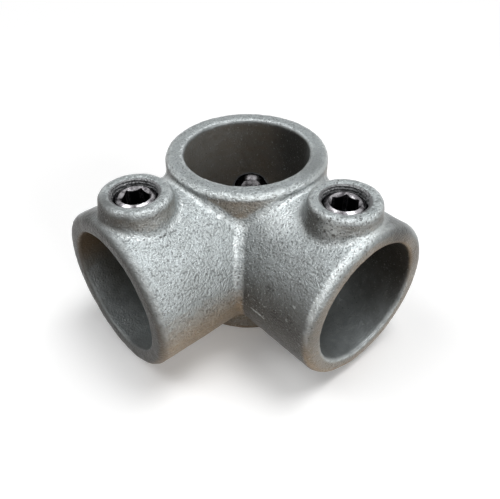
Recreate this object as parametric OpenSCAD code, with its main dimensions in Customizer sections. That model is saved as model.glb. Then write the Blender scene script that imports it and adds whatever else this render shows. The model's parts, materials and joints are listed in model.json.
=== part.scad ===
// Three-way through fitting for round tube: an upright sleeve with two side sockets at a right angle.
// The three bore axes meet at the origin. +Z runs up the sleeve, +X and +Y run out of the sockets.

/* [Tube and bores] */
// Outside diameter of the tubes that the fitting joins
tube_d = 48.3; // [42:0.1:52]
// Radial clearance between a tube and its bore
tube_clearance = 1.3; // [0.3:0.05:1.6]
// Rounding of the edge at each bore mouth
mouth_round = 1.25; // [0.5:0.05:2]
// Depth of a socket from its rim to its tube stop
socket_depth = 37.25; // [34:0.25:50]
// Wall between a socket's tube stop and the sleeve's bore
stop_wall = 6.25; // [4:0.25:9]
// Diameter of the core opening in a tube stop
stop_opening_d = 22; // [16:0.5:34]

/* [Barrels] */
// Wall of a socket
socket_wall = 7.35; // [5.5:0.05:8.5]
// Extra wall on the sleeve over a socket's
sleeve_extra = 0.2; // [0.2:0.05:1.5]
// Height of the sleeve's top rim above the sockets
collar_top = 3.4; // [3:0.2:12]
// Height of the sleeve's bottom rim below the sockets
collar_bottom = 3; // [3:0.25:12]
// Rounding of the outer edge at the sleeve's rims
sleeve_round = 2.5; // [1:0.1:2.8]
// Rounding of the outer edge at a socket's rim
socket_round = 3.2; // [1:0.1:4]
// Fillet where two barrels meet
crotch_fillet = 3.5; // [1.5:0.25:4]

/* [Screw bosses] */
// Distance of a socket's boss axis from the socket's rim
boss_setback = 16.5; // [16.5:0.25:20]
// Diameter of a boss at its top
boss_d = 26.8; // [25:0.2:28]
// Length of a tapped hole from the bore wall to the top of its boss
thread_len = 14.25; // [13:0.25:20]
// Draft of a boss's wall in degrees
boss_draft = 8; // [1:0.5:9]
// Rounding of the edge round a boss's top
boss_round = 1.8; // [0.5:0.1:2.5]
// Fillet where a boss meets its barrel
boss_fillet = 4; // [1:0.25:4.5]
// Chamfer at the mouth of a tapped hole
hole_chamfer = 1.2; // [0.5:0.1:1.6]

/* [Set screws] */
// Diameter over a set screw's thread
screw_d = 16.66; // [15:0.02:18]
// Radial clearance of a set screw in its hole
screw_clearance = 0.05; // [0.02:0.01:0.1]
// Length of a set screw
screw_len = 12.5; // [11:0.25:18]
// Lift of a backed-off screw's point from the bore wall
point_lift = 0.25; // [0.1:0.05:1]
// Width across the flats of a set screw's hexagon socket
hex_af = 9.5; // [6:0.5:10]
// Depth of the hexagon socket
hex_depth = 7; // [5:0.25:8]
// Width of the countersink round the hexagon's corners
hex_lead = 0.4; // [0.3:0.05:1]
// Turn of the hexagon at which the screws came to rest, in degrees
hex_turn = 36; // [0:1:59]
// Width of the chamfer round a set screw's top
screw_chamfer = 1.4; // [0.4:0.1:1.5]
// Fall of that chamfer in degrees
chamfer_angle = 30; // [20:1:45]
// Radius of the ring that a set screw's cup point bites with
cup_r = 5; // [3.5:0.25:6]
// Depth of the cup in a set screw's point
cup_depth = 2; // [1:0.25:3]

/* [Hidden] */
$fn = 96;

bore_r = tube_d / 2 + tube_clearance;
socket_r = bore_r + socket_wall;
sleeve_r = socket_r + sleeve_extra;
socket_floor = bore_r + stop_wall;
socket_reach = socket_floor + socket_depth;
sleeve_top = socket_r + collar_top;
sleeve_bottom = -socket_r - collar_bottom;
boss_x = socket_reach - boss_setback;
boss_top = bore_r + thread_len;
hole_r = screw_d / 2 + screw_clearance;
screw_tip = bore_r + point_lift;

// A socket starts this far from the sleeve's axis, inside the sleeve
root_inset = 2;
// Cutters run this far past the faces that they open
cut_over = 1;
// Share of its radius by which a blend dips into the surfaces that it joins
blend_dip = 0.035;
// Angle at which a blend's hollow leaves each surface, and the run-in before it
leave_angle = acos(1 - blend_dip);
run_in = 5;
// Blends are backed by this much inside the walls
blend_back = 1.5;
// A blend is never smaller than this
least_blend = 0.6;
// Segments in a small rounding and in a blend's hollow
round_steps = 5;
// Rows along a barrel blend, and round a boss
crease_rows = 16;
boss_rows = 32;

// Points of an arc about (cx, cy) from angle a to angle b
function arc(cx, cy, r, a, b) = [
    for (i = [0:round_steps])
        let (t = a + (b - a) * i / round_steps)
        [cx + r * cos(t), cy + r * sin(t)]
];

// Half the chord of a circle of radius r at distance y from its centre
function half_chord(r, y) = sqrt(r * r - y * y);

// Solid lofted through rows of points, with flat ends or joined into a ring
module loft(rows, ring = false) {
    n = len(rows[0]);
    m = len(rows);
    spans = ring ? m : m - 1;
    sides = [
        for (i = [0:spans - 1], j = [0:n - 1])
            let (a = i * n, b = ((i + 1) % m) * n, k = (j + 1) % n)
            each [[a + k, a + j, b + j], [b + k, a + k, b + j]]
    ];
    ends = ring ? [] : [[for (j = [0:n - 1]) j], [for (j = [n - 1:-1:0]) (m - 1) * n + j]];
    polyhedron(points = [for (row = rows) each row], faces = concat(sides, ends));
}

// Solid round bar along Z with rounded rims
module barrel(r, low, high, low_round, high_round) {
    low_edge = low_round > 0 ? arc(r - low_round, low + low_round, low_round, -90, 0) : [[r, low]];
    high_edge = arc(r - high_round, high - high_round, high_round, 0, 90);
    rotate_extrude()
        polygon(concat([[0, low]], low_edge, high_edge, [[0, high]]));
}

// Turns a shape built along +Z to point along +X, or along +Y
module to_x() {
    rotate([0, 90, 0]) children();
}

module to_y() {
    rotate([-90, 0, 0]) children();
}

// Stands a boss that was built on a socket against the back of the sleeve, between the two sockets
module to_back() {
    rotate([0, 0, 225]) rotate([0, 90, 0]) children();
}

// Swaps X and Y, which turns the left socket's features into the right one's
module swap_xy() {
    mirror([1, -1, 0]) children();
}

// Hollow of a blend of radius r about (cx, cy), between an upright wall and one that falls by slope
function hollow(cx, cy, r, slope = 0) = arc(
    cx - r * blend_dip, cy - r * blend_dip, r,
    180 + leave_angle - run_in, 270 - slope - leave_angle + run_in
);

// Cross-section of a blend in the corner of two walls: the hidden corner, then the hollow
function blend_section(r) = concat([[-blend_back, -blend_back]], hollow(r, r, r));

// Blend between the sleeve and the left socket, towards the sleeve rim at height rim.
// It fades out at the back, where the two surfaces run into each other, and ends inside the wall.
module rim_blend(rim) {
    back_angle = -70;
    front_angle = 54;
    fade_angle = 35;
    fade_from = 0.25;
    rows = [
        for (i = [0:crease_rows])
            let (
                t = back_angle + (front_angle - back_angle) * i / crease_rows,
                y = socket_r * sin(t),
                sink = i == 0 ? least_blend : 0,
                x0 = half_chord(sleeve_r, y) - sink,
                z0 = half_chord(socket_r, y) - sink,
                fade = min(1, fade_from + (1 - fade_from) * (t - back_angle) / fade_angle),
                r = max(least_blend, fade * min(crotch_fillet, rim - sleeve_round - z0))
            )
            [for (p = blend_section(r)) [x0 + p[0], y, z0 + p[1]]]
    ];
    loft(rows);
}

// Blend in the valley between the two sockets
module valley_blend() {
    end_angle = 52;
    rows = [
        for (i = [0:crease_rows])
            let (
                t = end_angle * (1 - 2 * i / crease_rows),
                z = socket_r * sin(t),
                s = half_chord(socket_r, z)
            )
            [for (p = blend_section(crotch_fillet)) [s + p[0], s + p[1], z]]
    ];
    loft(rows);
}

module barrel_blends() {
    rim_blend(sleeve_top);
    swap_xy() rim_blend(sleeve_top);
    mirror([0, 0, 1]) rim_blend(-sleeve_bottom);
    mirror([0, 0, 1]) swap_xy() rim_blend(-sleeve_bottom);
    valley_blend();
}

// Drafted boss along +Z on a bar of radius r that lies along X, with a rounded rim at distance rim_room
module boss(r, rim_room, rim_round) {
    edge = arc(boss_d / 2 - boss_round, boss_top - boss_round, boss_round, boss_draft, 90);
    foot_r = edge[0][0] + (edge[0][1] - bore_r) * tan(boss_draft);
    rotate_extrude()
        polygon(concat([[0, bore_r], [foot_r, bore_r]], edge, [[0, boss_top]]));
    boss_blend(r, rim_room, rim_round);
}

// Blend round the foot of a boss. It narrows where the rim of the bar is close, and follows its rounding.
module boss_blend(r, rim_room, rim_round) {
    wall_r = boss_d / 2 + (boss_top - r) * tan(boss_draft);
    rows = [
        for (i = [0:boss_rows - 1])
            let (
                t = 360 * i / boss_rows,
                room = cos(t) > 0 ? (rim_room - rim_round) / cos(t) - wall_r : rim_room,
                f = max(least_blend, min(boss_fillet, room)),
                reach = wall_r + f,
                over = max(0, reach * cos(t) - rim_room + rim_round),
                bar_r = r - rim_round + half_chord(rim_round, over),
                z = half_chord(bar_r, reach * sin(t)),
                slope = atan(reach * sin(t) * sin(t) / z) + asin(over / rim_round),
                cz = z + f / cos(slope),
                w = boss_d / 2 + (boss_top - cz) * tan(boss_draft),
                root = [[w - blend_back, half_chord(r, w * sin(t)) - blend_back]]
            )
            [for (p = concat(root, hollow(w + f, cz, f, slope))) [p[0] * cos(t), p[0] * sin(t), p[1]]]
    ];
    loft(rows, ring = true);
}

// Bore along +Z with a rounded mouth at its high end, and at its low end if it runs through
module bore_cut(low, high, through) {
    top_edge = arc(bore_r + mouth_round, high - mouth_round, mouth_round, 180, 90);
    low_edge = through
        ? arc(bore_r + mouth_round, low + mouth_round, mouth_round, 270, 180)
        : [[bore_r, low]];
    start = through ? low - cut_over : low;
    low_lip = through ? [[bore_r + mouth_round, start]] : [];
    high_lip = [[bore_r + mouth_round, high + cut_over]];
    rotate_extrude()
        polygon(concat([[0, start]], low_lip, low_edge, top_edge, high_lip, [[0, high + cut_over]]));
}

// Socket bore along +Z down to its tube stop, with the core opening behind the stop
module socket_cut() {
    bore_cut(socket_floor, socket_reach, false);
    translate([0, 0, bore_r / 2])
        cylinder(h = socket_floor - bore_r / 2 + cut_over, d = stop_opening_d);
}

// Tapped hole along +Z from inside a bore to the top of its boss
module hole_cut() {
    flare = hole_chamfer + cut_over;
    rotate_extrude()
        polygon([
            [0, bore_r / 2],
            [hole_r, bore_r / 2],
            [hole_r, boss_top - hole_chamfer],
            [hole_r + flare, boss_top + cut_over],
            [0, boss_top + cut_over]
        ]);
}

// Set screw along +Z with its point down: hexagon socket in the top, cup in the point
module set_screw() {
    screw_r = screw_d / 2;
    hex_r = hex_af / 2 / cos(30);
    mouth_r = hex_r + hex_lead;
    translate([0, 0, screw_tip])
        difference() {
            rotate_extrude()
                polygon([
                    [0, cup_depth],
                    [cup_r, 0],
                    [screw_r, screw_r - cup_r],
                    [screw_r, screw_len - screw_chamfer * tan(chamfer_angle)],
                    [screw_r - screw_chamfer, screw_len],
                    [0, screw_len]
                ]);
            translate([0, 0, screw_len - hex_depth])
                rotate([0, 0, hex_turn]) cylinder(h = hex_depth + cut_over, r = hex_r, $fn = 6);
            rotate_extrude()
                polygon([
                    [0, screw_len - mouth_r],
                    [mouth_r + cut_over, screw_len + cut_over],
                    [0, screw_len + cut_over]
                ]);
        }
}

module cast_body() {
    color("#b6babc")
    difference() {
        union() {
            barrel(sleeve_r, sleeve_bottom, sleeve_top, sleeve_round, sleeve_round);
            to_x() barrel(socket_r, root_inset, socket_reach, 0, socket_round);
            to_y() barrel(socket_r, root_inset, socket_reach, 0, socket_round);
            barrel_blends();
            translate([boss_x, 0, 0]) boss(socket_r, boss_setback, socket_round);
            swap_xy() translate([boss_x, 0, 0]) boss(socket_r, boss_setback, socket_round);
            to_back() boss(sleeve_r, -sleeve_bottom, sleeve_round);
        }
        bore_cut(sleeve_bottom, sleeve_top, true);
        to_x() socket_cut();
        to_y() socket_cut();
        translate([boss_x, 0, 0]) hole_cut();
        translate([0, boss_x, 0]) hole_cut();
        to_back() hole_cut();
    }
}

module left_set_screw() {
    color("#8d9296") translate([boss_x, 0, 0]) set_screw();
}

module right_set_screw() {
    color("#8d9296") translate([0, boss_x, 0]) set_screw();
}

module back_set_screw() {
    color("#8d9296") to_back() set_screw();
}

cast_body();
left_set_screw();
right_set_screw();
back_set_screw();
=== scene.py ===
"""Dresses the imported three-way tube fitting: a galvanised casting, set screws and a plain stage."""

import json
import math

import bmesh
import bpy
from bpy.props import FloatProperty, FloatVectorProperty, IntProperty, PointerProperty
from mathutils import Matrix, Vector


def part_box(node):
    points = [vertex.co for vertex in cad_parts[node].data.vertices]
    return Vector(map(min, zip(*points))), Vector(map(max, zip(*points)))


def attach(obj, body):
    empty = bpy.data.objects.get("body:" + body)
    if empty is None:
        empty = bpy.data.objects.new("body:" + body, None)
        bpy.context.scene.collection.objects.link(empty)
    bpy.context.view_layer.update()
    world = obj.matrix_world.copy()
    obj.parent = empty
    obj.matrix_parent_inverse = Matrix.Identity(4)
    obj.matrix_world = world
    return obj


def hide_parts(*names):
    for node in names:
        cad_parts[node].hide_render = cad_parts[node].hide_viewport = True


bl_info = {
    "name": "Three-way tube fitting",
    "version": (1, 0, 0),
    "blender": (4, 5, 0),
    "location": "View3D > Sidebar > Tube Fitting",
    "description": "Builds the galvanised casting, its set screws and a plain stage",
    "category": "Object",
}

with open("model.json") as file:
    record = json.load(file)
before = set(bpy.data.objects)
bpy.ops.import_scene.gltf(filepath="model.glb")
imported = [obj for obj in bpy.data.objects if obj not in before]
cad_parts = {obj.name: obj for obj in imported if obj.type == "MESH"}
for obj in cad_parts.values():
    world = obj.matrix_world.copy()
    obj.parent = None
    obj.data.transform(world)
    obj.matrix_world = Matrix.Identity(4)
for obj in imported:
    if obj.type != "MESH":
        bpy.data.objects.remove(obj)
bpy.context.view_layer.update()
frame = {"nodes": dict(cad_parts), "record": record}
MM = 0.001

# The screws, each with the node that it replaces and the body that it moves with
SCREWS = {
    "left": ("left_set_screw", "left_screw"),
    "right": ("right_set_screw", "right_screw"),
    "back": ("back_set_screw", "back_screw"),
}
# Height of each boss above its bore's axis, reach of the sockets, and radius of the bores
BOSS_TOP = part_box("cast_body")[1].z
SOCKET_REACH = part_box("cast_body")[1].x
BORE_RADIUS = frame["record"]["mounts"][0]["dims"]["r_mm"] * MM
# Turns a shape built along +Z onto the upright, the left socket or the right socket
BARRELS = {
    "upright": Matrix(),
    "left": Matrix.Rotation(math.radians(90), 4, "Y"),
    "right": Matrix.Rotation(math.radians(-90), 4, "X"),
}
# Marks in the zinc: a place on the skin, a reach along x, y and z, both in millimetres, and a strength.
# Scrapes are small, and the pebbles break them up.
SCRAPES = (
    ((52.6, 15.5, 29), (2.9, 0.7, 0.8), 0.8),
    ((48.6, 15.7, 28.8), (2.4, 0.5, 0.6), 0.6),
    ((12.3, 56.3, 38.8), (1, 1, 1), 0.8),
    ((11.1, 58.5, 39.1), (0.9, 0.9, 0.9), 0.7),
    ((13.4, 55.9, 34.1), (1.2, 1.2, 1.2), 0.8),
    ((12.5, 59, 33.3), (0.9, 0.9, 0.9), 0.7),
    ((-2.1, 62.8, 39.6), (0.9, 0.9, 0.9), 0.7),
    ((32, 59, 6), (1.8, 2.6, 2), 0.85),
    ((32.5, 52, 4), (1.8, 2.2, 2.6), 0.8),
    ((30.7, 47.5, 11.6), (1.8, 3, 1.6), 0.7),
)
# Broad, dark and soft marks. The first two, beside the left boss, are stains; most of the rest are painted
# shade and dark reflection, round the left boss's foot, over the left rim face, and on the right socket's
# lower flank and end
STAINS_AND_SHADE = (
    ((62.4, 8.8, 38), (5, 3.2, 3.2), 0.5),
    ((61.9, 10.4, 35), (6, 3, 3), 0.45),
    ((66, -2, 36), (10, 10, 10), 0.9),
    ((65, 6, 35), (7, 7, 7), 0.6),
    ((66.5, -10, 29.5), (11, 14, 9), 0.85),
    ((32, 59, 4), (19, 19, 19), 0.45),
    ((-13, 68.5, 28), (16, 16, 16), 0.75),
    ((-13, 27, 36), (16, 16, 16), 0.35),
    ((-26, 69, 10), (14, 14, 14), 0.35),
    ((9, 42, 34), (7, 7, 7), 0.5),
    ((69, 0, 0), (5, 70, 70), 0.9),
)
# The first three are bright scratches; the rest are a painted highlight, the thin bright line along the
# fillet between the sockets
SCRATCHES_AND_HIGHLIGHTS = (
    ((32.7, 43, -2.4), (1.2, 4.6, 0.6), 0.85),
    ((32.3, 58.1, 5.5), (0.8, 0.8, 0.8), 0.8),
    ((30.5, 59.6, 12.2), (0.7, 0.7, 0.7), 0.7),
    ((28, 26, 21), (1.2, 1.2, 2), 0.8),
    ((29.1, 26.9, 19.2), (1.1, 1.1, 2), 0.9),
    ((30.1, 27.7, 17.5), (1.1, 1.1, 2), 0.9),
    ((30.6, 28.5, 15.2), (1.1, 1.1, 2.2), 0.9),
    ((31, 29.2, 13), (1, 1, 2.4), 0.8),
    ((31.3, 29.7, 10.5), (1, 1, 2.4), 0.8),
    ((31.6, 30.2, 8), (0.9, 0.9, 2.4), 0.7),
)
# Painted highlights, broad, bright and soft, on the top of the right socket
PAINTED_HIGHLIGHTS = (
    ((13, 36, 30), (11, 11, 11), 0.75),
    ((12.6, 58, 36), (6, 6, 6), 0.4),
)


def srgb(code):
    """Turns an sRGB hex colour into linear red, green and blue."""
    parts = [int(code[i:i + 2], 16) / 255 for i in (1, 3, 5)]
    return tuple(c / 12.92 if c <= 0.04045 else ((c + 0.055) / 1.055) ** 2.4 for c in parts)


def length(name, description, millimetres):
    """A size that a user may change, given here in millimetres."""
    return FloatProperty(
        name=name, description=description, default=millimetres * MM, unit="LENGTH", precision=5
    )


def angle(name, description, degrees):
    """An angle that a user may change, given here in degrees."""
    return FloatProperty(name=name, description=description, default=math.radians(degrees), unit="ROTATION")


def power(name, description, watts):
    """A lamp's power that a user may change."""
    return FloatProperty(name=name, description=description, default=watts, unit="POWER")


def colour(name, description, code):
    """A colour that a user may change, given here as sRGB hex."""
    return FloatVectorProperty(
        name=name, description=description, default=srgb(code), subtype="COLOR", min=0, max=1
    )


class CastingSettings(bpy.types.PropertyGroup):
    skin_size: length("Skin size", "Side of the even faces that the cast skin is first made of", 0.7)
    skin_kept: FloatProperty(
        name="Skin kept", description="Share of those faces that is kept", default=0.5, min=0.1, max=1
    )
    soften_steps: IntProperty(
        name="Soften steps", description="Passes that soften the cast edges", default=2
    )
    swell_size: length("Swell size", "Distance between the broad swells of the cast skin", 11)
    swell_height: length("Swell height", "Height of the broad swells", 0.35)
    ripple_size: length("Ripple size", "Distance between the small ripples of the cast skin", 2.6)
    ripple_height: length("Ripple height", "Height of the small ripples", 0.2)
    barrel_radius: length("Barrel radius", "Outer radius of the sleeve and the sockets", 32.8)
    collar_top: length("Collar top", "Height of the collar's rim above the bores' crossing", 36.2)
    patch_size: length("Patch size", "Width of the dull and bright patches in the zinc", 18)
    mottle_size: length("Mottle size", "Width of the mottling in the zinc", 4)
    grain_size: length("Grain size", "Width of the pebbles in the zinc", 0.85)
    grain_height: length("Grain height", "Height of the pebbles in the zinc", 0.62)
    fine_size: length("Fine size", "Width of the finest roughness in the zinc", 0.4)
    fine_height: length("Fine height", "Height of the finest roughness", 0.16)
    pit_spacing: length("Pit spacing", "Distance between the small pits", 1.7)
    pit_cluster: length("Pit cluster", "Width of the places where pits gather", 14)
    # Painted light: faces turned towards this direction keep the bright zinc, and faces turned away are
    # painted darker as painted shade
    painted_light_side: FloatVectorProperty(
        name="Weather side", description="Direction that washes the zinc bright", subtype="DIRECTION",
        default=(-0.1, 0.48, 0.87),
    )
    # The plain zinc colour, kept on faces turned towards the painted light side
    zinc: colour("Zinc", "Colour of the zinc on the weather side", "#b3babc")
    zinc_dull: colour("Dull zinc", "Colour of the duller patches in the zinc", "#a2a8a9")
    # Painted shade: this dark colour is mixed in on faces turned away from the painted light side
    zinc_painted_shade: colour("Sheltered zinc", "Colour of the zinc on the sheltered side", "#4a4844")
    # Painted warm bounce light, not a stain: this warm colour stands in for light thrown up from the ground
    # onto faces turned down and towards +Y
    zinc_painted_bounce: colour("Under zinc", "Colour of the stained zinc on the underside", "#a18c70")
    # Painted shade and dark reflection: the rim faces and boss tops are painted darker; they are not made
    # smoother
    zinc_rim_shade: colour("Flat zinc", "Colour of the smoother zinc on the rims and boss tops", "#8b9192")
    # Partly worn and pooled zinc, partly painted highlight: this bright colour also paints the highlights
    # on convex edges, in the fillets, on pebble tips, along the rims' outer edges and in the highlight
    # marks
    zinc_worn_and_highlight: colour("Worn zinc", "Colour of the zinc on rubbed edges and where it has pooled", "#d8dedf")
    # The dirt colour also paints shade: it darkens under the broad dark marks, which are mostly painted
    # shade
    grime_and_shade: colour("Grime", "Colour of the dirt that stays in pits and low places", "#33322f")
    bare_iron: colour("Bare iron", "Colour of the tapped threads, which have no zinc", "#6a6b6c")


class ScrewSettings(bpy.types.PropertyGroup):
    radius: length("Thread radius", "Radius over the screw's thread", 8.33)
    pitch: length("Pitch", "Rise of the thread in one turn", 1.337)
    thread_depth: length("Thread depth", "Depth of the screw's thread", 0.75)
    hole_radius: length("Hole radius", "Radius of a tapped hole inside its thread", 8.38)
    hole_depth: length("Hole thread depth", "Depth of a tapped hole's thread", 0.8)
    hole_chamfer: length("Hole chamfer", "Chamfer at the mouth of a tapped hole", 0.9)
    crown_radius: length("Crown radius", "Radius where the screw's top turns down to its thread", 7.2)
    crown_fall: length("Crown fall", "Fall of the screw's top towards its thread", 0.7)
    hex_flats: length("Key size", "Width across the flats of the hexagon socket", 9.5)
    hex_depth: length("Key depth", "Depth of the hexagon socket", 7)
    hex_lead: length("Key lead", "Width of the countersink round the hexagon's corners", 0.4)
    hex_turn: angle("Key turn", "Turn of the hexagon at which the screws came to rest", 36)
    drill_depth: length("Drill point", "Depth of the drill point under the hexagon socket", 1.6)
    cup_radius: length("Cup radius", "Radius of the ring that the point bites with", 5)
    cup_depth: length("Cup depth", "Depth of the cup in the point", 2)
    ring_size: length("Ring size", "Distance between the turned rings on the screw's top", 0.3)
    steel: colour("Plated steel", "Colour of the plated steel", "#a3a1a4")
    steel_dark: colour("Stained steel", "Colour of the stained patches in the plating", "#565457")
    # Painted shade: the thread and the inside of the hexagon socket are painted nearly black where they lie
    # in shadow
    painted_shadow: colour("Oil", "Colour of the oily thread and the inside of the socket", "#101214")


class StageSettings(bpy.types.PropertyGroup):
    azimuth: angle("Azimuth", "Turn of the camera about the upright", 139.24)
    elevation: angle("Elevation", "Height of the camera", 40.44)
    roll: angle("Roll", "Tilt of the camera about its own line of sight", -0.73)
    distance: length("Distance", "Distance of the camera from its target", 262.59)
    lens: FloatProperty(
        name="Lens", description="Focal length on a 36 mm sensor", default=40.23, unit="CAMERA"
    )
    target: FloatVectorProperty(
        name="Target", description="Point that the camera looks at", subtype="XYZ", unit="LENGTH",
        default=(-1.59 * MM, -0.52 * MM, -18.2 * MM),
    )
    floor: colour("Floor", "Colour of the floor as it is seen", "#fbfbfb")
    bounce: colour("Bounce", "Colour of the light that the floor throws back", "#b49c82")
    top_power: power("Top", "Power of the broad overhead light", 36)
    side_power: power("Side", "Power of the light beside the right socket", 22)
    back_power: power("Back", "Power of the weak light behind the left socket", 17)
    fill: FloatProperty(
        name="Fill", description="Strength of the even light from all round", default=0.13, min=0
    )


def add_node(tree, kind, settings=None, inputs=None):
    """Adds a node, sets its settings, and links or sets each named input."""
    node = tree.nodes.new(kind)
    for name, value in (settings or {}).items():
        setattr(node, name, value)
    for name, value in (inputs or {}).items():
        if isinstance(value, bpy.types.NodeSocket):
            tree.links.new(value, node.inputs[name])
        else:
            node.inputs[name].default_value = value
    return node


def new_material(name):
    """An empty node material, with its tree."""
    material = bpy.data.materials.new(name)
    material.use_nodes = True
    material.node_tree.nodes.clear()
    return material, material.node_tree


def highest(tree, values):
    """The largest of several values, as one socket."""
    top = values[0]
    for value in values[1:]:
        top = add_node(tree, "ShaderNodeMath", {"operation": "MAXIMUM"}, {0: top, 1: value}).outputs[0]
    return top


def about_axis(tree, place, axis):
    """Distance from an axis and height along it, for an axis given by what turns +Z onto it."""
    back = axis.inverted()
    local = add_node(
        tree, "ShaderNodeMapping", {"vector_type": "POINT"},
        {"Vector": place, "Location": back.to_translation(), "Rotation": back.to_euler()},
    ).outputs["Vector"]
    across = add_node(tree, "ShaderNodeVectorMath", {"operation": "MULTIPLY"}, {0: local, 1: (1, 1, 0)})
    reach = add_node(tree, "ShaderNodeVectorMath", {"operation": "LENGTH"}, {0: across.outputs["Vector"]})
    height = add_node(tree, "ShaderNodeSeparateXYZ", inputs={"Vector": local})
    return reach.outputs["Value"], height.outputs["Z"]


def mesh_object(name, bm):
    """Puts a finished bmesh into a new object at the origin."""
    mesh = bpy.data.meshes.new(name)
    bm.to_mesh(mesh)
    bm.free()
    obj = bpy.data.objects.new(name, mesh)
    bpy.context.scene.collection.objects.link(obj)
    return obj


def apply_modifiers(obj):
    """Bakes an object's modifiers into its mesh."""
    graph = bpy.context.evaluated_depsgraph_get()
    mesh = bpy.data.meshes.new_from_object(obj.evaluated_get(graph))
    old = obj.data
    obj.modifiers.clear()
    obj.data = mesh
    bpy.data.meshes.remove(old)
    mesh.name = obj.name


def combine(obj, tool, operation):
    """Cuts, joins or trims obj with tool, which is used up."""
    step = obj.modifiers.new(operation.title(), "BOOLEAN")
    step.operation = operation
    step.solver = "EXACT"
    step.object = tool
    apply_modifiers(obj)
    bpy.data.objects.remove(tool)


def spun(profile, place=Matrix()):
    """A closed solid turned from a profile of (radius, height) points that starts and ends on the axis."""
    bm = bmesh.new()
    verts = [bm.verts.new((r, 0, z)) for r, z in profile]
    edges = [bm.edges.new(pair) for pair in zip(verts, verts[1:])]
    bmesh.ops.spin(
        bm, geom=verts + edges, cent=(0, 0, 0), axis=(0, 0, 1), angle=math.tau, steps=96, use_merge=True
    )
    bmesh.ops.remove_doubles(bm, verts=bm.verts, dist=1e-7)
    bmesh.ops.recalc_face_normals(bm, faces=bm.faces)
    bmesh.ops.transform(bm, matrix=place, verts=bm.verts)
    return bm


def threaded_rod(crest, root, pitch, low, high, place):
    """A closed threaded rod: a zigzag profile, spun one turn while it rises by a pitch."""
    steps = 72
    flat = 0.12 * pitch
    bm = bmesh.new()
    row = []
    turns = math.ceil((high - low) / pitch) + 3
    start = low - 1.5 * pitch
    for i in range(turns):
        z = start + i * pitch
        top = z + pitch / 2
        row += [(root, z), (root, z + flat), (crest, top - flat / 2), (crest, top + flat / 2)]
    row.append((root, start + turns * pitch))
    verts = [bm.verts.new((r, 0, z)) for r, z in row]
    edges = [bm.edges.new(pair) for pair in zip(verts, verts[1:])]
    bmesh.ops.spin(
        bm, geom=verts + edges, cent=(0, 0, 0), axis=(0, 0, 1), dvec=(0, 0, pitch / steps),
        angle=math.tau, steps=steps, use_merge=False,
    )
    bmesh.ops.remove_doubles(bm, verts=bm.verts, dist=1e-6)
    for height, normal in ((low, -1), (high, 1)):
        bmesh.ops.bisect_plane(
            bm, geom=bm.verts[:] + bm.edges[:] + bm.faces[:], dist=1e-7,
            plane_co=(0, 0, height), plane_no=(0, 0, normal), clear_outer=True,
        )
        rim = [e for e in bm.edges if e.is_boundary and abs(e.verts[0].co.z - height) < 1e-6]
        bmesh.ops.holes_fill(bm, edges=rim)
    bmesh.ops.recalc_face_normals(bm, faces=bm.faces)
    bmesh.ops.transform(bm, matrix=place, verts=bm.verts)
    return bm


def screw_place(which):
    """Places a shape built along +Z, from the bore's axis outwards, on one of the screw axes."""
    if which == "back":
        return Matrix.Rotation(math.radians(225), 4, "Z") @ Matrix.Rotation(math.radians(90), 4, "Y")
    low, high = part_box(SCREWS[which][0])
    middle = (low + high) / 2
    return Matrix.Translation((middle.x, middle.y, 0))


def sharpen(obj, degrees):
    """Smooth shading, with edges sharper than the angle kept sharp."""
    obj.data.shade_smooth()
    obj.data.set_sharp_from_angle(angle=math.radians(degrees))


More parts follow.
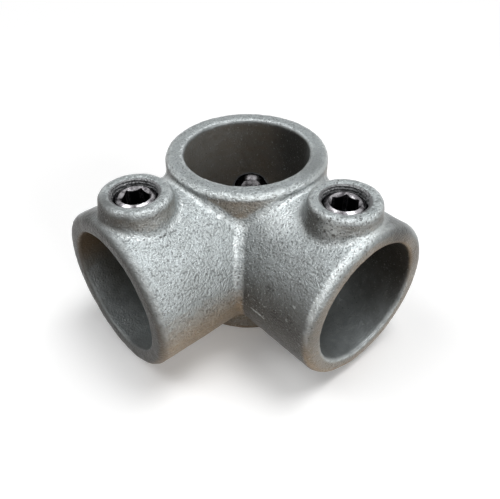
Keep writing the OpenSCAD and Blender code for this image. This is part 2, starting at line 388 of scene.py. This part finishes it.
class FITTING_OT_casting(bpy.types.Operator):
    """Build the casting: the CAD solid with a softened, uneven cast skin and tapped holes"""

    bl_idname = "fitting.casting"
    bl_label = "Casting"

    def execute(self, context):
        settings = context.scene.fitting_casting
        screws = context.scene.fitting_screws
        obj = self.blank(settings, screws)
        self.cut_threads(screws, obj)
        sharpen(obj, 38)
        obj.data.materials.clear()
        obj.data.materials.append(galvanised_iron(settings, screws))
        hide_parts("cast_body")
        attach(obj, "fitting")
        return {"FINISHED"}

    def blank(self, settings, screws):
        """The casting before its holes are tapped."""
        bm = bmesh.new()
        bm.from_mesh(frame["nodes"]["cast_body"].data)
        bmesh.ops.remove_doubles(bm, verts=bm.verts, dist=1e-6)
        reach = screws.hole_radius + screws.hole_chamfer
        for which in SCREWS:
            self.plug(bm, which, reach)
        bmesh.ops.triangulate(bm, faces=[f for f in bm.faces if len(f.verts) > 4])
        obj = mesh_object("cast_fitting", bm)
        skin = obj.modifiers.new("Skin", "REMESH")
        skin.mode = "VOXEL"
        skin.voxel_size = settings.skin_size
        soften = obj.modifiers.new("Soften", "SMOOTH")
        soften.factor = 0.5
        soften.iterations = settings.soften_steps
        for name, size, height in (
            ("Swell", settings.swell_size, settings.swell_height),
            ("Ripple", settings.ripple_size, settings.ripple_height),
        ):
            texture = bpy.data.textures.new(name, "CLOUDS")
            texture.noise_scale = size
            texture.noise_depth = 1
            step = obj.modifiers.new(name, "DISPLACE")
            step.texture = texture
            step.texture_coords = "LOCAL"
            step.strength = height
            step.mid_level = 0.5
        thin = obj.modifiers.new("Thin", "DECIMATE")
        thin.ratio = settings.skin_kept
        apply_modifiers(obj)
        return obj

    def plug(self, bm, which, reach):
        """Takes the wall of one plain hole out of the copied solid and closes both its ends."""
        back = screw_place(which).inverted()
        turn = back.to_3x3()
        walls = []
        for face in bm.faces:
            lean = (turn @ face.normal).z
            spots = [back @ v.co for v in face.verts]
            if -0.5 < lean < 0.9 and all(math.hypot(p.x, p.y) < reach and p.z > 0 for p in spots):
                walls.append(face)
        if not walls:
            raise RuntimeError(f"the casting has no {which} tapped hole")
        bmesh.ops.delete(bm, geom=walls, context="FACES")
        bmesh.ops.holes_fill(bm, edges=[e for e in bm.edges if e.is_boundary])

    def cut_threads(self, screws, obj):
        """Taps the three holes and opens their mouths."""
        over = 1.5 * MM
        inner_end = 15 * MM
        radius = screws.hole_radius
        crest = radius + screws.hole_depth
        for which in SCREWS:
            place = screw_place(which)
            rod = threaded_rod(crest, radius, screws.pitch, inner_end, BOSS_TOP + over, place)
            combine(obj, mesh_object("tap", rod), "DIFFERENCE")
            mouth = spun(
                [
                    (0, BOSS_TOP - screws.hole_chamfer - radius),
                    (radius + screws.hole_chamfer + over, BOSS_TOP + over),
                    (0, BOSS_TOP + over),
                ],
                place,
            )
            combine(obj, mesh_object("countersink", mouth), "DIFFERENCE")


class FITTING_OT_set_screws(bpy.types.Operator):
    """Build the three set screws, each a threaded rod with a hexagon socket and a cup point"""

    bl_idname = "fitting.set_screws"
    bl_label = "Set screws"

    def execute(self, context):
        s = context.scene.fitting_screws
        low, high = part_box("left_set_screw")
        for which, (node, body) in SCREWS.items():
            place = screw_place(which)
            obj = self.turned(s, f"{which}_grub_screw", low.z, high.z, place)
            self.socket(s, obj, high.z, place)
            sharpen(obj, 25)
            obj.data.materials.clear()
            obj.data.materials.append(plated_steel(s, which, high.z))
            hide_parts(node)
            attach(obj, body)
        return {"FINISHED"}

    def turned(self, s, name, tip, head, place):
        """The threaded rod, turned to its crowned top and cup point."""
        root = s.radius - s.thread_depth
        obj = mesh_object(name, threaded_rod(s.radius, root, s.pitch, tip - MM, head + MM, place))
        past = s.radius + MM
        crown = head - s.crown_fall
        envelope = spun(
            [
                (0, tip + s.cup_depth),
                (s.cup_radius, tip),
                (past, tip + past - s.cup_radius),
                (past, crown - past + s.crown_radius),
                (s.crown_radius, crown),
                (s.hex_flats / 2 / math.cos(math.radians(30)) + s.hex_lead, head),
                (0, head),
            ],
            place,
        )
        combine(obj, mesh_object("envelope", envelope), "INTERSECT")
        return obj

    def socket(self, s, obj, head, place):
        """The hexagon socket with its countersunk mouth and the drill point under it."""
        corner = s.hex_flats / 2 / math.cos(math.radians(30))
        floor = head - s.hex_depth
        lift = Matrix.Translation((0, 0, (floor + head + MM) / 2))
        turn = Matrix.Rotation(s.hex_turn - math.radians(90), 4, "Z")
        key = bmesh.new()
        bmesh.ops.create_cone(
            key, cap_ends=True, segments=6, radius1=corner, radius2=corner, depth=s.hex_depth + MM,
            matrix=lift @ turn,
        )
        bmesh.ops.transform(key, matrix=place, verts=key.verts)
        combine(obj, mesh_object("key", key), "DIFFERENCE")
        mouth = corner + s.hex_lead
        lead = spun([(0, head - mouth), (mouth + MM, head + MM), (0, head + MM)], place)
        combine(obj, mesh_object("lead", lead), "DIFFERENCE")
        drill = 0.49 * s.hex_flats
        point = spun(
            [(0, floor - s.drill_depth), (drill, floor), (drill, floor + MM), (0, floor + MM)], place
        )
        combine(obj, mesh_object("drill", point), "DIFFERENCE")


def galvanised_iron(s, screws):
    """Hot-dip galvanised cast iron. The sand-cast skin gives the dull zinc its fine pebbles. It holds dirt
    in pits and shows bare iron only where the threads were cut. Light is painted into its colour too:
    painted shade on faces turned away from the light, on the rims and in broad dark marks, a painted warm
    bounce on faces turned down, and painted highlights along the lit rims' edges, in the fillets and on the
    pebble tips."""
    material, tree = new_material("hot_dip_galvanised_cast_iron")
    place = add_node(tree, "ShaderNodeTexCoord").outputs["Object"]
    shake_size = 1.2 * MM
    noise = {}
    for name, size, detail in (
        ("patch", s.patch_size, 2), ("mottle", s.mottle_size, 4), ("pebble", s.grain_size, 1.5),
        ("fine", s.fine_size, 1), ("cluster", s.pit_cluster, 1), ("shake", shake_size, 1),
    ):
        noise[name] = add_node(
            tree, "ShaderNodeTexNoise",
            inputs={"Vector": place, "Scale": 1 / size, "Detail": detail, "Roughness": 0.55},
        ).outputs
    pits = add_node(tree, "ShaderNodeTexVoronoi", inputs={"Vector": place, "Scale": 1 / s.pit_spacing})
    mixed = add_node(
        tree, "ShaderNodeMath", {"operation": "ADD"},
        {0: noise["patch"]["Fac"], 1: noise["mottle"]["Fac"]},
    ).outputs[0]
    geometry = add_node(tree, "ShaderNodeNewGeometry").outputs
    bend = geometry["Pointiness"]
    # How far each face turns towards the painted light side; this sets the painted shade, the painted edge
    # highlights and the painted glints
    facing = add_node(
        tree, "ShaderNodeVectorMath", {"operation": "DOT_PRODUCT"},
        {0: geometry["Normal"], 1: s.painted_light_side},
    ).outputs["Value"]
    lean = add_node(tree, "ShaderNodeSeparateXYZ", inputs={"Vector": geometry["Normal"]}).outputs
    # How strongly a layer shows, by the way that a face turns; these shares spread the painted shade, the
    # painted warm bounce and the painted glints
    shares = {}
    for name, value, low, high, least, most in (
        ("left", lean["X"], -0.3, 0.3, 0.4, 0.88),
        ("front", lean["Y"], -0.7, -0.35, 0.35, 1),
        # Painted warm bounce light shows on faces turned towards +Y
        ("ground", lean["Y"], 0.1, 0.5, 0, 0.75),
        # More painted glints on the pebble tips of faces turned away from the light
        ("specks", facing, 0.6, 0.1, 0.25, 0.5),
    ):
        shares[name] = add_node(
            tree, "ShaderNodeMapRange",
            inputs={"Value": value, "From Min": low, "From Max": high, "To Min": least, "To Max": most},
        ).outputs["Result"]
    # Painted shade is strongest on faces turned towards +X and weaker on faces turned towards -X or -Y
    shade = add_node(
        tree, "ShaderNodeMath", {"operation": "MULTIPLY"}, {0: shares["left"], 1: shares["front"]}
    ).outputs[0]
    # The noise moves the outlines of the marks by up to this much
    shake = 0.8 * MM
    shaken = add_node(
        tree, "ShaderNodeVectorMath", {"operation": "MULTIPLY_ADD"},
        {0: noise["shake"]["Color"], 1: (2 * shake,) * 3, 2: place},
    ).outputs["Vector"]

    # Each range is a value, where its mask begins, where it is full, and the strength that it reaches
    bores, rims, ridges = [], [], []
    rim_start = 0.9 * MM
    rim_full = 0.3 * MM
    socket_start = 15 * MM
    for name, axis in BARRELS.items():
        reach, height = about_axis(tree, place, axis)
        end = s.collar_top if name == "upright" else SOCKET_REACH
        share = 1
        if name != "upright":
            share = add_node(
                tree, "ShaderNodeMapRange",
                inputs={"Value": height, "From Min": socket_start, "From Max": socket_start + MM},
            ).outputs["Result"]
        bores.append((reach, BORE_RADIUS + 0.8 * MM, BORE_RADIUS + 0.2 * MM, share))
        rims.append((height, end - rim_start, end - rim_full, 1))
        # Painted highlight: a thin bright line on the rounded outer edge of each barrel's rim, shown only
        # on lit faces
        profile = add_node(tree, "ShaderNodeCombineXYZ", inputs={"X": reach, "Y": height})
        fall = 1.2 * MM if name == "upright" else 2 * MM
        corner = (s.barrel_radius - 0.2 * MM, end - fall, 0)
        away = add_node(
            tree, "ShaderNodeVectorMath", {"operation": "DISTANCE"},
            {0: profile.outputs["Vector"], 1: corner},
        )
        shine = 0.3 if name == "left" else 0.8
        ridges.append((away.outputs["Value"], 0.4 * MM + 0.6 * fall, 0.4 * fall, shine))
    cuts = []
    thread_start = 20 * MM
    for which in SCREWS:
        reach, height = about_axis(tree, place, screw_place(which))
        rims.append((height, BOSS_TOP - rim_start, BOSS_TOP - rim_full, 1))
        edge = screws.hole_radius + screws.hole_depth
        near = add_node(
            tree, "ShaderNodeMapRange",
            inputs={"Value": reach, "From Min": edge + 0.3 * MM, "From Max": edge + 0.1 * MM},
        ).outputs["Result"]
        cuts.append((height, thread_start, thread_start + MM, near))
    marks = {"scrape": [], "stain": [], "scratch_and_highlight": []}
    # Scrapes are real marks, the list of broad dark marks is mostly painted shade, and the last two lists
    # hold scratches and painted highlights
    for name, spots, full in (
        ("scrape", SCRAPES, 0.6), ("stain", STAINS_AND_SHADE, 0.2),
        ("scratch_and_highlight", SCRATCHES_AND_HIGHLIGHTS, 0.6), ("scratch_and_highlight", PAINTED_HIGHLIGHTS, 0.2),
    ):
        for middle, radii, share in spots:
            local = add_node(
                tree, "ShaderNodeMapping", {"vector_type": "TEXTURE"},
                {
                    "Vector": shaken,
                    "Location": [v * MM + shake for v in middle],
                    "Scale": [v * MM for v in radii],
                },
            ).outputs["Vector"]
            away = add_node(tree, "ShaderNodeVectorMath", {"operation": "LENGTH"}, {0: local})
            marks[name].append((away.outputs["Value"], 1, full, share))

    masks = {}
    for name, ranges in {
        "tone": [(mixed, 0.8, 1.2, 1)],
        # Painted shade on faces turned away from the painted light side
        "painted_shade": [(facing, 0.85, -0.05, shade)],
        # Painted warm bounce light on faces turned down
        "painted_bounce": [(lean["Z"], 0.22, -0.25, shares["ground"])],
        # Convex edges: partly worn zinc, partly a painted highlight where they catch the light
        "wear_and_highlight": [(bend, 0.509, 0.523, 0.5)],
        # Concave fillets: partly pooled zinc, partly a painted highlight
        "pooled": [(bend, 0.495, 0.484, 0.85)],
        "ridge_highlight": ridges,
        "lit": [(facing, 0.1, 0.45, 1)],
        "rubbed": [(noise["mottle"]["Fac"], 0.25, 0.55, 1)],
        # Painted glints on the pebble tips
        "tip": [(noise["pebble"]["Fac"], 0.63, 0.72, shares["specks"])],
        "broken": [(noise["pebble"]["Fac"], 0.62, 0.42, 1)],
        "valley": [(noise["pebble"]["Fac"], 0.45, 0.3, 0.5)],
        "pit": [(pits.outputs["Distance"], 0.24, 0.12, 0.8)],
        "cluster": [(noise["cluster"]["Fac"], 0.56, 0.66, 1), (facing, 0.6, 0.25, shade)],
        "inside": bores,
        "rim": rims,
        "tapped": cuts,
        **marks,
    }.items():
        masks[name] = highest(tree, [
            add_node(
                tree, "ShaderNodeMapRange",
                inputs={"Value": value, "From Min": low, "From Max": high, "To Max": share},
            ).outputs["Result"]
            for value, low, high, share in ranges
        ])
    shared = {}
    for name, factors in {
        "pits": [masks["pit"], masks["cluster"]],
        "bore": [masks["inside"], 0.45],
        # Painted shade and dark reflection on the rim faces and the boss tops
        "flat": [masks["rim"], 0.8],
        "worn": [masks["wear_and_highlight"], masks["rubbed"]],
        # Painted highlight along the rims' outer edges on lit faces
        "edge": [masks["ridge_highlight"], masks["lit"], masks["rubbed"]],
        "smudge": [masks["scrape"], masks["broken"]],
    }.items():
        shared[name] = factors[0]
        for factor in factors[1:]:
            shared[name] = add_node(
                tree, "ShaderNodeMath", {"operation": "MULTIPLY"}, {0: shared[name], 1: factor}
            ).outputs[0]
    # Painted highlights: glints on the pebble tips, the highlight marks and the rims' lit outer edges, with
    # the real scratches
    bright = highest(tree, [masks["tip"], masks["scratch_and_highlight"], shared["edge"]])
    # Darker in the pebbles' hollows, in pits, inside the bores by up to 45 percent, in scrapes, and under
    # the broad dark marks, which are mostly painted shade
    dirt = highest(
        tree, [masks["valley"], shared["pits"], shared["bore"], shared["smudge"], masks["stain"]]
    )

    tint = (*s.zinc_dull, 1)
    for amount, layer in (
        (masks["tone"], s.zinc),
        # Painted shade and dark reflection on the rims and boss tops
        (shared["flat"], s.zinc_rim_shade),
        # Worn and pooled zinc, partly painted highlight
        (highest(tree, [shared["worn"], masks["pooled"]]), s.zinc_worn_and_highlight),
        # Painted shade
        (masks["painted_shade"], s.zinc_painted_shade),
        # Painted warm bounce light
        (masks["painted_bounce"], s.zinc_painted_bounce),
        # Painted highlights and scratches
        (bright, s.zinc_worn_and_highlight),
        # Dirt, and painted shade under the broad dark marks
        (dirt, s.grime_and_shade),
        (masks["tapped"], s.bare_iron),
    ):
        tint = add_node(
            tree, "ShaderNodeMix", {"data_type": "RGBA"}, {0: amount, 6: tint, 7: (*layer, 1)}
        ).outputs[2]
    rough = add_node(
        tree, "ShaderNodeMapRange",
        inputs={
            "Value": noise["mottle"]["Fac"],
            "From Min": 0.3, "From Max": 0.7, "To Min": 0.28, "To Max": 0.42,
        },
    ).outputs["Result"]
    bare, metal, grain = [
        add_node(
            tree, "ShaderNodeMapRange", inputs={"Value": mask, "To Min": low, "To Max": high}
        ).outputs["Result"]
        for mask, low, high in ((masks["tapped"], 0, 0.9), (dirt, 0.5, 0.1), (masks["inside"], 1, 0.4))
    ]
    normal = None
    for height, size in ((noise["fine"]["Fac"], s.fine_height), (noise["pebble"]["Fac"], s.grain_height)):
        inputs = {"Strength": grain, "Distance": size, "Height": height}
        if normal:
            inputs["Normal"] = normal
        normal = add_node(tree, "ShaderNodeBump", inputs=inputs).outputs["Normal"]
    shader = add_node(
        tree, "ShaderNodeBsdfPrincipled",
        inputs={
            "Base Color": tint, "Metallic": highest(tree, [metal, bare]), "Roughness": rough,
            "Specular IOR Level": 0.22, "Normal": normal,
        },
    )
    add_node(tree, "ShaderNodeOutputMaterial", inputs={"Surface": shader.outputs["BSDF"]})
    return material


def plated_steel(s, which, head):
    """Zinc-plated turned steel. The crowned top keeps its turned rings and shines in patches, while painted
    shade makes the thread and the inside of the hexagon nearly black."""
    material, tree = new_material(f"zinc_plated_turned_steel_{which}")
    place = add_node(tree, "ShaderNodeTexCoord").outputs["Object"]
    reach, height = about_axis(tree, place, screw_place(which))
    stain_size = 2.5 * MM
    stain = add_node(
        tree, "ShaderNodeTexNoise",
        inputs={"Vector": place, "Scale": 1 / stain_size, "Detail": 3, "Roughness": 0.6},
    ).outputs["Fac"]
    corner = s.hex_flats / 2 / math.cos(math.radians(30))
    masks = {}
    for name, value, low, high in (
        ("stain", stain, 0.45, 0.6),
        ("outside", reach, s.crown_radius - 0.1 * MM, s.crown_radius + 0.15 * MM),
        ("hollow", reach, corner - 0.1 * MM, corner - 0.5 * MM),
        ("depth", height, head - 0.9 * MM, head - 1.6 * MM),
        ("above", height, head - s.hex_depth - 2.2 * MM, head - s.hex_depth - 1.8 * MM),
    ):
        masks[name] = add_node(
            tree, "ShaderNodeMapRange", inputs={"Value": value, "From Min": low, "From Max": high}
        ).outputs["Result"]
    inside = masks["hollow"]
    for name in ("depth", "above"):
        inside = add_node(
            tree, "ShaderNodeMath", {"operation": "MULTIPLY"}, {0: inside, 1: masks[name]}
        ).outputs[0]
    # Painted shade on the thread and inside the hexagon socket
    shadowed = highest(tree, [masks["outside"], inside])
    tint = (*s.steel, 1)
    for amount, layer in ((masks["stain"], s.steel_dark), (shadowed, s.painted_shadow)):
        tint = add_node(
            tree, "ShaderNodeMix", {"data_type": "RGBA"}, {0: amount, 6: tint, 7: (*layer, 1)}
        ).outputs[2]
    wave = add_node(
        tree, "ShaderNodeMath", {"operation": "MULTIPLY"}, {0: reach, 1: math.tau / s.ring_size}
    ).outputs[0]
    rings = add_node(tree, "ShaderNodeMath", {"operation": "SINE"}, {0: wave}).outputs[0]
    ring_height = 0.02 * MM
    bump = add_node(
        tree, "ShaderNodeBump", inputs={"Strength": 0.3, "Distance": ring_height, "Height": rings}
    )
    rough = add_node(
        tree, "ShaderNodeMapRange", inputs={"Value": shadowed, "To Min": 0.22, "To Max": 0.5}
    ).outputs["Result"]
    shader = add_node(
        tree, "ShaderNodeBsdfPrincipled",
        inputs={"Base Color": tint, "Metallic": 1, "Roughness": rough, "Normal": bump.outputs["Normal"]},
    )
    add_node(tree, "ShaderNodeOutputMaterial", inputs={"Surface": shader.outputs["BSDF"]})
    return material


class FITTING_OT_stage(bpy.types.Operator):
    """Build the floor, the lights, the world and the camera"""

    bl_idname = "fitting.stage"
    bl_label = "Stage"

    def execute(self, context):
        s = context.scene.fitting_stage
        self.floor(s)
        self.lights(s)
        self.world(context.scene, s)
        self.camera(context.scene, s)
        context.scene.view_settings.view_transform = "Standard"
        return {"FINISHED"}

    def seen(self, tree):
        """1 for the rays that show the stage, straight on or in metal or glass, and 0 for the rest."""
        ray = add_node(tree, "ShaderNodeLightPath").outputs
        return highest(tree, [ray[f"Is {kind} Ray"] for kind in ("Camera", "Glossy", "Transmission")])

    def floor(self, s):
        """A plain disc, which runs out into white and throws only dim, warm light on the fitting."""
        floor_radius = 4
        fade_start = 0.15
        fade_end = 0.5
        own_light = 0.15
        bm = bmesh.new()
        bmesh.ops.create_circle(bm, cap_ends=True, segments=96, radius=floor_radius)
        bmesh.ops.translate(bm, vec=(0, 0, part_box("cast_body")[0].z), verts=bm.verts)
        floor = mesh_object("floor", bm)
        material, tree = new_material("pale_floor")
        seen = self.seen(tree)
        tone = add_node(
            tree, "ShaderNodeMix", {"data_type": "RGBA"}, {0: seen, 6: (*s.bounce, 1), 7: (*s.floor, 1)}
        )
        lift = add_node(tree, "ShaderNodeMath", {"operation": "MULTIPLY"}, {0: seen, 1: own_light})
        matt = add_node(tree, "ShaderNodeBsdfDiffuse", inputs={"Color": tone.outputs[2]})
        glow = add_node(tree, "ShaderNodeEmission", inputs={"Strength": lift.outputs[0]})
        near = add_node(
            tree, "ShaderNodeAddShader", inputs={0: matt.outputs["BSDF"], 1: glow.outputs["Emission"]}
        )
        place = add_node(tree, "ShaderNodeTexCoord").outputs["Object"]
        away = add_node(tree, "ShaderNodeVectorMath", {"operation": "LENGTH"}, {0: place}).outputs["Value"]
        far = add_node(
            tree, "ShaderNodeMapRange",
            inputs={"Value": away, "From Min": fade_start, "From Max": fade_end, "To Max": seen},
        )
        white = add_node(tree, "ShaderNodeEmission")
        ground = add_node(
            tree, "ShaderNodeMixShader",
            inputs={0: far.outputs["Result"], 1: near.outputs["Shader"], 2: white.outputs["Emission"]},
        )
        add_node(tree, "ShaderNodeOutputMaterial", inputs={"Surface": ground.outputs["Shader"]})
        floor.data.materials.append(material)

    def lights(self, s):
        """Three broad soft lamps: overhead, beside the right socket and behind the left one."""
        side = 1.2
        distance = 2.5
        for name, direction, watts in (
            ("top_light", (-0.2, 0.15, 0.97), s.top_power),
            ("side_light", (0, 0.94, 0.34), s.side_power),
            ("back_light", (0.42, -0.3, 0.86), s.back_power),
        ):
            lamp = bpy.data.lights.new(name, "AREA")
            lamp.size = side
            lamp.energy = watts
            obj = bpy.data.objects.new(name, lamp)
            obj.location = Vector(direction).normalized() * distance
            obj.rotation_euler = Vector(direction).to_track_quat("Z", "Y").to_euler()
            bpy.context.scene.collection.objects.link(obj)

    def world(self, scene, s):
        """An even white, which is dim for the light that it throws on the fitting."""
        world = bpy.data.worlds.new("studio")
        world.use_nodes = True
        tree = world.node_tree
        tree.nodes.clear()
        strength = add_node(
            tree, "ShaderNodeMapRange", inputs={"Value": self.seen(tree), "To Min": s.fill, "To Max": 1}
        )
        back = add_node(
            tree, "ShaderNodeBackground",
            inputs={"Color": (1, 1, 1, 1), "Strength": strength.outputs["Result"]},
        )
        add_node(tree, "ShaderNodeOutputWorld", inputs={"Surface": back.outputs["Background"]})
        scene.world = world

    def camera(self, scene, s):
        """A camera at the viewing angle of the picture that the fitting is built from."""
        data = bpy.data.cameras.new("camera")
        data.lens = s.lens
        data.sensor_width = 36
        data.clip_start = 0.01
        camera = bpy.data.objects.new("camera", data)
        scene.collection.objects.link(camera)
        back = Vector((
            math.sin(s.azimuth) * math.cos(s.elevation),
            -math.cos(s.azimuth) * math.cos(s.elevation),
            math.sin(s.elevation),
        ))
        aim = (Matrix.Rotation(s.roll, 3, back) @ back.to_track_quat("Z", "Y").to_matrix()).to_4x4()
        camera.matrix_world = Matrix.Translation(Vector(s.target) + back * s.distance) @ aim
        scene.camera = camera


class FITTING_PT_panel(bpy.types.Panel):
    """Lists the fitting's pieces and the stage"""

    bl_label = "Tube fitting"
    bl_idname = "FITTING_PT_panel"
    bl_space_type = "VIEW_3D"
    bl_region_type = "UI"
    bl_category = "Tube Fitting"

    def draw(self, context):
        for operator in OPERATORS:
            self.layout.operator(operator.bl_idname)


GROUPS = {
    "fitting_casting": CastingSettings,
    "fitting_screws": ScrewSettings,
    "fitting_stage": StageSettings,
}
OPERATORS = (FITTING_OT_casting, FITTING_OT_set_screws, FITTING_OT_stage)


def register():
    for cls in (*GROUPS.values(), *OPERATORS, FITTING_PT_panel):
        bpy.utils.register_class(cls)
    for name, group in GROUPS.items():
        setattr(bpy.types.Scene, name, PointerProperty(type=group))


def unregister():
    for name in GROUPS:
        delattr(bpy.types.Scene, name)
    for cls in reversed((*GROUPS.values(), *OPERATORS, FITTING_PT_panel)):
        bpy.utils.unregister_class(cls)


def main():
    register()
    bpy.ops.fitting.casting()
    bpy.ops.fitting.set_screws()
    bpy.ops.fitting.stage()


if __name__ == "__main__":
    main()
